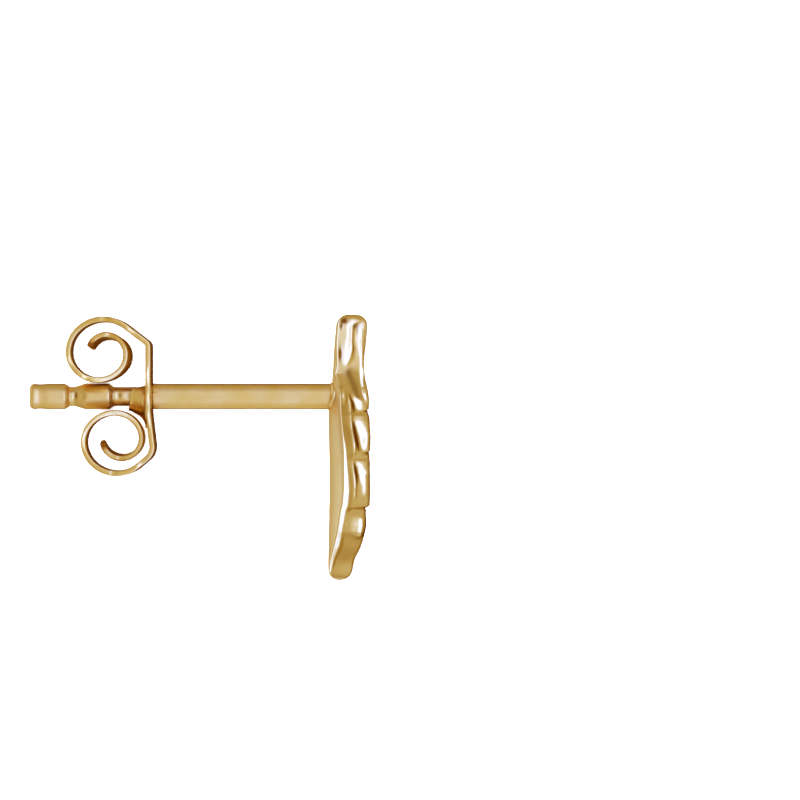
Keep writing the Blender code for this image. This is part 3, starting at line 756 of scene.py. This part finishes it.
def barb_grooves(grid, relief):
    """Depth of the grooves that slant down from the shaft. They fade out at the wall and at the shaft."""
    phase = (grid[:, :, 1] + BARB_SLOPE * grid[:, :, 2]) / BARB_PITCH
    grooves = (0.5 - 0.5 * np.cos(2 * math.pi * phase)) ** BARB_NARROWING
    shares = np.array([share for share, *_ in eased(FACE, FACE_STEPS)[1:]])
    inside = np.zeros(grid.shape[1])
    inside[-len(shares):] = eased_step(BARBS_END - shares, 0, BARBS_FADE) * eased_step(shares, *BARBS_BEGIN)
    return BARB_GROOVE * grooves * np.clip(relief, 0, 1)[:, None] * inside


def mirrored(half):
    """Columns of both halves of the feather, from those of one half."""
    return np.concatenate([half, half[:, -2:0:-1]], axis=1)


def make_feather(materials):
    rows = feather_rows()
    start = QUILL_END_ROUND / FEATHER_LENGTH
    stop = 1 - TIP_ROUND / FEATHER_LENGTH
    inner = [entry for entry in rows if start < entry[0][0] < stop]
    rows = end_rows(rows, 0, QUILL_END_ROUND, 1) + inner + end_rows(rows, 1, TIP_ROUND, -1)[::-1]
    grid = np.array([half_section(*entry) for entry in rows])
    normals = grid_normals(grid)
    turned = normals[:, :, 2]
    grooves = barb_grooves(grid, np.array([entry[0][5] for entry in rows]))
    move, dark = worked_forms(grid)
    move *= eased_step(turned, *FORMS_TURN)
    move[:, :BACK_STEPS] = 0
    move -= grooves
    move[:, -1] = 0
    # Painted shade: behind the worked forms on the side walls and at the bottoms of the barb grooves
    recess = dark * eased_step(turned, *DARK_TURN) + np.clip(grooves / BARB_GROOVE, 0, 1) * BARB_DARK
    grid += normals * move[:, :, None]
    grid[:, (0, -1), 2] = 0
    loops = mirrored(grid)
    loops[:, grid.shape[1]:, 2] *= -1
    count = loops.shape[1]
    mesh = new_mesh("feather", loops.reshape(-1, 3) + np.array(ORIGIN), tube_faces(len(loops), count))
    mark_painted_shade(mesh, mirrored(recess).reshape(-1))
    feather = new_piece("feather", mesh, materials, FEATHER_SHARP)
    for polygon in mesh.polygons:
        places = [index % count for index in polygon.vertices]
        if len(places) == 4 and all(place <= BACK_STEPS or place >= count - BACK_STEPS for place in places):
            polygon.material_index = 1
    return feather


# Post


def plain_rows(before, end):
    """Rows of the straight post, from one row's distance after one place to before another."""
    return [(POST_RADIUS, along) for along in np.arange(before + POST_ROW, end, POST_ROW)]


def post_outline():
    """Radius and distance from the free end."""
    outline = []
    for i in range(POST_END_STEPS + 1):
        angle = math.pi / 2 * i / POST_END_STEPS
        radius = POST_RADIUS - POST_END_ROUND * (1 - math.sin(angle))
        outline.append((radius, POST_END_ROUND * (1 - math.cos(angle))))
    neck_depth = POST_RADIUS - NECK_RADIUS
    for start, length, depth, shape in (
        (POST_END_ROUND, TIP_STEP_LENGTH, TIP_STEP, TIP_BAND),
        (GROOVE_FROM_END, GROOVE_LENGTH, neck_depth, GROOVE),
        (LONG_GROOVE_FROM_END, LONG_GROOVE_LENGTH, neck_depth, LONG_GROOVE),
    ):
        before = outline[-1][1]
        outline += plain_rows(before, start - POST_ROW / 4)
        for along, down in eased(shape, PROFILE_STEPS):
            if start + length * along > before:
                outline.append((POST_RADIUS - depth * max(0, down), start + length * along))
    return outline + plain_rows(outline[-1][1], POST_LENGTH + POST_ROOT)


def dented(radius, along, angle):
    """The radius with the tool's marks, which lie on the sides of the post, and how much shade is painted
    there.
    """
    height = radius * math.cos(angle) / MM
    pressed = 0
    dark = 0
    for dent in DENTS:
        far_along = (along / MM - dent.along) / dent.half_along
        far_up = (height - dent.up) / dent.half_up
        near = math.exp(-(far_along ** 2 + far_up ** 2))
        pressed += dent.depth * near
        dark += dent.dark * near
    return radius - pressed * abs(math.sin(angle)) * MM, dark


def make_post(materials):
    points = []
    painted_shades = []
    outline = post_outline()
    for radius, along in outline:
        for k in range(POST_SIDES):
            angle = 2 * math.pi * k / POST_SIDES
            here, dark = dented(radius, along, angle)
            points.append(ORIGIN + about_post(along - POST_LENGTH, here, angle))
            painted_shades.append(dark)
    mesh = new_mesh("post", points, tube_faces(len(outline), POST_SIDES))
    # painted shade at the tool's marks, for the material
    mark_painted_shade(mesh, painted_shades)
    return new_piece("post", mesh, materials, POST_SHARP)


def make_solder(materials):
    """A lumpy oval bead of solder on the feather's curved back, round the post."""
    table = np.array(LOBES[0])
    points = []
    for i in range(BEAD_ROUNDS):
        angle = 2 * math.pi * i / BEAD_ROUNDS
        out = about_post(0, 1, angle)
        aside = abs(math.sin(angle))
        y = between(POST_RADIUS, BEAD_HALF_HEIGHT, aside) * math.cos(angle)
        z = BEAD_HALF_WIDTH * math.sin(angle)
        down = (POST_BELOW_QUILL_END - y) / FEATHER_LENGTH
        width, back = (np.interp(down, table[:, 0], table[:, k]) for k in (1, 2))
        corner = np.interp(down * FEATHER_LENGTH / MM, BAND_TABLE[:, 0], BAND_TABLE[:, 1]) * MM
        across = min(1, abs(z) / (width * FEATHER_WIDTH / 2))
        centre = ORIGIN + Vector((between(back * FEATHER_DEPTH, corner, across ** 2), y, z))
        swell = noise.noise(Vector((BEAD_LUMP_RATE * out.y, BEAD_LUMP_RATE * out.z, BEAD_LUMP_SEED)))
        thick = between(BEAD_THIN_RADIUS, BEAD_RADIUS, aside) * (1 + BEAD_LUMPS * swell)
        for k in range(BEAD_SIDES):
            turn = 2 * math.pi * k / BEAD_SIDES
            points.append(centre + out * thick * math.cos(turn) + Vector((thick * math.sin(turn), 0, 0)))
    mesh = new_mesh("solder", points, tube_faces(BEAD_ROUNDS, BEAD_SIDES, closed=True))
    return new_piece("solder", mesh, materials, BEAD_SHARP)


# Clutch


def roll(start, heading, bends, curl_radius):
    """Points along a rolled strip. A positive turn is to the left."""
    x, y = start
    path = []
    for bend in bends:
        if bend.run:
            x += bend.run * curl_radius * math.cos(heading)
            y += bend.run * curl_radius * math.sin(heading)
            path.append((x, y))
        radius = bend.radius * curl_radius
        steps = max(2, math.ceil(abs(bend.turn) / BEND_STEP))
        turn = math.radians(bend.turn) / steps
        for _ in range(steps):
            chord = 2 * radius * math.sin(abs(turn) / 2)
            x += chord * math.cos(heading + turn / 2)
            y += chord * math.sin(heading + turn / 2)
            heading += turn
            path.append((x, y))
    return path


def upper_path():
    knee = roll((0, 0), math.radians(90), [Bend(1, UPPER_EAR_ANGLE)], KNEE_RADIUS)
    heading = math.radians(90 + UPPER_EAR_ANGLE)
    x, y = knee[-1]
    ear = (x + EAR_LENGTH * math.cos(heading), y + EAR_LENGTH * math.sin(heading))
    return [(0, 0)] + knee + [ear] + roll(ear, heading, UPPER_BENDS, UPPER_CURL_RADIUS)


def lower_path():
    bends = [bend._replace(turn=-bend.turn) for bend in LOWER_BENDS]
    return [(0, 0)] + roll((0, 0), math.radians(-90), bends, LOWER_CURL_RADIUS)


def seated(path, side):
    """The path moved off the post's axis, so that its curl comes back down to the post."""
    curl = path[len(path) // 3:]
    comes_back = max(-side * y for x, y in curl)
    start = HOLE_RADIUS + CLUTCH_THICKNESS / 2 + comes_back
    return [(x, y + side * start) for x, y in path]


def lengths_along(path):
    lengths = [0]
    for (x0, y0), (x1, y1) in zip(path, path[1:]):
        lengths.append(lengths[-1] + math.hypot(x1 - x0, y1 - y0))
    return lengths


def strip_rows(path, side, lean, lean_share, droop_share):
    """For each point: place, heading, half width, the far edge's shift in X and Y, and share of thickness."""
    lengths = lengths_along(path)
    end_round = CURL_END_WIDTH / 3
    rows = []
    for i, ((x, y), length) in enumerate(zip(path, lengths)):
        share = length / lengths[-1]
        taper = max(0, (share - HELD_SHARE) / (1 - HELD_SHARE))
        past = max(0, 1 - (lengths[-1] - length) / end_round)
        rounding = end_round * (1 - math.sqrt(1 - past ** 2))
        half = between(CLUTCH_WIDTH, CURL_END_WIDTH, taper) / 2 - rounding
        far_x = lean * eased_step(share, lean_share, lean_share + LEAN_RUN_SHARE)
        far_y = -side * CURL_DROOP * eased_step(share, droop_share, droop_share + LEAN_RUN_SHARE)
        before = path[max(0, i - 1)]
        after = path[min(len(path) - 1, i + 1)]
        heading = math.atan2(after[1] - before[1], after[0] - before[0])
        rows.append((x, y, heading, half, far_x, far_y, 1.0))
    # The strip's end is rounded off through its thickness too
    x, y, heading, half, far_x, far_y, _ = rows.pop()
    reach = CLUTCH_THICKNESS * END_ROUND_SHARE
    for k in range(END_STEPS + 1):
        angle = math.pi / 2 * k / END_STEPS
        shrink = reach * (1 - math.cos(angle))
        back = reach * (1 - math.sin(angle))
        place = (x - back * math.cos(heading), y - back * math.sin(heading))
        rows.append((*place, heading, half - shrink, far_x, far_y, 1 - 2 * shrink / CLUTCH_THICKNESS))
    return rows


def filled(rows):
    """The strip's rows with others in its straight runs."""
    out = rows[:1]
    for row in rows[1:]:
        last = out[-1]
        count = math.ceil(math.hypot(row[0] - last[0], row[1] - last[1]) / STRIP_STEP)
        turn = (row[2] - last[2] + math.pi) % (2 * math.pi) - math.pi
        for k in range(1, count):
            share = k / count
            x, y, _, *rest = (between(a, b, share) for a, b in zip(last, row))
            out.append((x, y, last[2] + turn * share, *rest))
        out.append(row)
    return out


def strip_loop(x, y, heading, half, far_x, far_y, thin):
    """Points round the strip's cross-section, with its long edges rounded."""
    across = Vector((-math.sin(heading), math.cos(heading), 0))
    thick = CLUTCH_THICKNESS / 2 * thin
    edge = EDGE_ROUND * thin
    loop = []
    for face, end, start in ((1, 1, 0), (-1, 1, 90), (-1, -1, 180), (1, -1, 270)):
        for k in range(EDGE_STEPS + 1):
            angle = math.radians(start + 90 * k / EDGE_STEPS)
            u = face * (thick - edge) + edge * math.cos(angle)
            z = end * (half - edge) + edge * math.sin(angle)
            share = (1 - z / half) / 2
            loop.append(Vector((x + far_x * share, y + far_y * share, z)) + across * u)
    return loop


def worn(point):
    """Leans the clutch's edges towards the light where they are rubbed bright."""
    x, y, z = point
    lift = 0
    for rub in RUBS:
        dx = x / MM - rub.x
        dy = y / MM - rub.y
        near = math.exp(-(dx ** 2 + dy ** 2) / rub.reach ** 2)
        lift -= max(0, RUB_SLOPE * (dx - RUB_TURN * dy + rub.reach / 2)) * near
    return Vector((x, y, z + lift * math.copysign(MM, z)))


def collar_outline(share):
    """Radius and distance round the collar's wall, that share of the way from one cut edge to the other."""
    middle = math.sin(math.pi * share)
    inside = []
    outside = []
    for i in range(COLLAR_ARC_STEPS + 1):
        angle = math.pi / 2 * i / COLLAR_ARC_STEPS
        wall = COLLAR_WALL * between(COLLAR_THIN, 1, middle ** COLLAR_THINNING)
        wall *= between(1, COLLAR_THIN, eased_step(angle, math.radians(COLLAR_THIN_FROM), math.pi / 2))
        radius = HOLE_RADIUS + COLLAR_FLARE * (1 - math.sin(angle)) * between(COLLAR_NARROW, 1, middle)
        length = COLLAR_LENGTH * between(COLLAR_SHORT, 1, middle ** 2)
        along = -CLUTCH_THICKNESS / 4 - length * (1 - math.cos(angle))
        inside.append((radius, along))
        outside.append((radius + wall * math.sin(angle), along - wall * math.cos(angle)))
    return outside + inside[::-1]


def make_collar(shift):
    points = []
    for i in range(COLLAR_STEPS + 1):
        angle = math.radians(between(COLLAR_FROM, 360 - COLLAR_FROM, i / COLLAR_STEPS))
        outline = collar_outline(i / COLLAR_STEPS)
        points += [shift + about_post(along, radius, angle) for radius, along in outline]
    return linked("collar", new_mesh("collar", points, tube_faces(COLLAR_STEPS + 1, len(outline))))


def make_hole(shift):
    points = []
    for along in (-2 * COLLAR_LENGTH, 2 * CLUTCH_THICKNESS):
        for k in range(POST_SIDES):
            points.append(shift + about_post(along, HOLE_RADIUS, 2 * math.pi * k / POST_SIDES))
    return linked("hole", new_mesh("hole", points, tube_faces(2, POST_SIDES)))


def applied(obj, other, operation):
    modifier = obj.modifiers.new(operation, "BOOLEAN")
    modifier.operation = operation
    modifier.solver = "EXACT"
    modifier.object = other
    bpy.context.view_layer.update()
    mesh = bpy.data.meshes.new_from_object(obj.evaluated_get(bpy.context.evaluated_depsgraph_get()))
    obj.modifiers.clear()
    obj.data = mesh
    bpy.data.objects.remove(other)


def make_clutch(materials):
    upper = strip_rows(seated(upper_path(), 1), 1, UPPER_LEAN, UPPER_LEAN_SHARE, UPPER_DROOP_SHARE)
    lower = strip_rows(seated(lower_path(), -1), -1, 0, 0, LOWER_DROOP_SHARE)
    rows = [(x, y, heading + math.pi, *rest) for x, y, heading, *rest in upper[::-1]] + lower
    shift = ORIGIN + Vector((-CLUTCH_FROM_FEATHER - CLUTCH_THICKNESS / 2, 0, 0))
    loops = [[worn(point) + shift for point in strip_loop(*row)] for row in filled(rows)]
    points = [point for loop in loops for point in loop]
    strip = new_mesh("clutch", points, tube_faces(len(loops), len(loops[0])))
    clutch = new_piece("clutch", strip, materials, CLUTCH_SHARP)
    applied(clutch, make_collar(shift), "UNION")
    applied(clutch, make_hole(shift), "DIFFERENCE")
    smooth(clutch.data, CLUTCH_SHARP)
    return clutch


# Light, floor and camera


def sky_colour(level):
    """Gold that mirrors sky of this level is pale where the level is high, and brown where it is low."""
    seen = (level, level ** GREEN_FALL, level ** BLUE_FALL)
    return tuple(light / tint for light, tint in zip(seen, LIGHT_GOLD))


def make_world():
    world = bpy.data.worlds.new("studio")
    bpy.context.scene.world = world
    nodes = Nodes(world, "Generated")
    parts = nodes.parts(nodes.place)
    ramp = nodes.made("ValToRGB", {"Fac": nodes.maths("MULTIPLY_ADD", parts["Z"], 0.5, 0.5)})
    ramp.color_ramp.interpolation = "EASE"
    elements = ramp.color_ramp.elements
    for element, (height, level) in zip((elements[0], elements[1]), (SKY[0], SKY[-1])):
        element.position = (height + 1) / 2
        element.color = opaque(sky_colour(level))
    for height, level in SKY[1:-1]:
        elements.new((height + 1) / 2).color = opaque(sky_colour(level))
    sky = ramp.outputs["Color"]
    for panel in PANELS:
        way, other = (-1, "X") if panel.axis == "Y" else (1, "Y")
        inputs = {"Vector": nodes.place, "Angle": math.radians(way * panel.middle)}
        turned = nodes.made("VectorRotate", inputs, rotation_type=panel.axis + "_AXIS")
        here = nodes.parts(turned.outputs[0])
        around = nodes.maths("ARCTAN2", here[other], here["Z"])
        lean = nodes.maths("SUBTRACT", nodes.maths("ARCSINE", parts[panel.axis]), math.radians(panel.lean))
        shares = []
        for angle, half in ((around, panel.half), (lean, panel.half_lean)):
            limits = (math.radians(half + panel.soft / 2), math.radians(half - panel.soft / 2))
            shares.append(nodes.ranged(nodes.maths("ABSOLUTE", angle), limits))
        sky = nodes.mixed(nodes.maths("MULTIPLY", *shares), sky, opaque(sky_colour(panel.level)))
    nodes.tree.links.new(sky, nodes.tree.nodes["Background"].inputs["Color"])


def make_floor():
    mesh = bpy.data.meshes.new("floor")
    square = [(x * FLOOR_REACH, y * FLOOR_REACH, 0) for x, y in ((-1, -1), (1, -1), (1, 1), (-1, 1))]
    mesh.from_pydata(square, [], [(0, 1, 2, 3)])
    material = bpy.data.materials.new("pale_floor")
    material.use_nodes = True
    shader = material.node_tree.nodes["Principled BSDF"]
    shader.inputs["Base Color"].default_value = opaque(FLOOR_COLOUR)
    shader.inputs["Roughness"].default_value = FLOOR_ROUGHNESS
    shader.inputs["Specular IOR Level"].default_value = 0.0
    mesh.materials.append(material)
    floor = linked("floor", mesh)
    floor.visible_glossy = False
    floor.visible_shadow = False


def make_overhead_light():
    light = bpy.data.lights.new("overhead", "SUN")
    light.angle = math.radians(SUN_ANGLE)
    light.energy = SUN_STRENGTH
    linked("overhead", light).visible_glossy = False


def make_camera():
    data = bpy.data.cameras.new("camera")
    data.sensor_width = SENSOR_WIDTH
    data.lens = SENSOR_WIDTH * CAMERA_DISTANCE / FRAME_WIDTH
    data.clip_start, data.clip_end = CLIP
    camera = linked("camera", data)
    camera.location = Vector(LOOK_AT) + Vector((0, 0, CAMERA_DISTANCE))
    bpy.context.scene.camera = camera


def dress(piece, body, node):
    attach(piece, body)
    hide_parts(node)


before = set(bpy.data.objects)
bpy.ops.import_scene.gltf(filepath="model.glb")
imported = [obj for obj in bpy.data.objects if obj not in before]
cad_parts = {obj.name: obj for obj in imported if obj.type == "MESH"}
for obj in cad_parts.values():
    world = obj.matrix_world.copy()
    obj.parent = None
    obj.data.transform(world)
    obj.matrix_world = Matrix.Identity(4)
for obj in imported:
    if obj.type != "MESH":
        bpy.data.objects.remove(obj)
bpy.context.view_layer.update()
low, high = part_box("feather_stud")
ORIGIN = Vector((low.x + POST_LENGTH, high.y - POST_BELOW_QUILL_END, (low.z + high.z) / 2))

bpy.context.scene.view_settings.view_transform = "Standard"
make_camera()
make_world()
make_floor()
make_overhead_light()

polished, satin, drawn, stamped = (gold(name, finish) for name, finish in FINISHES.items())
dress(make_feather([polished, satin]), "stud", "feather_stud")
dress(make_post([drawn]), "stud", "feather_stud")
dress(make_solder([polished]), "stud", "feather_stud")
dress(make_clutch([stamped]), "clutch", "butterfly_clutch")
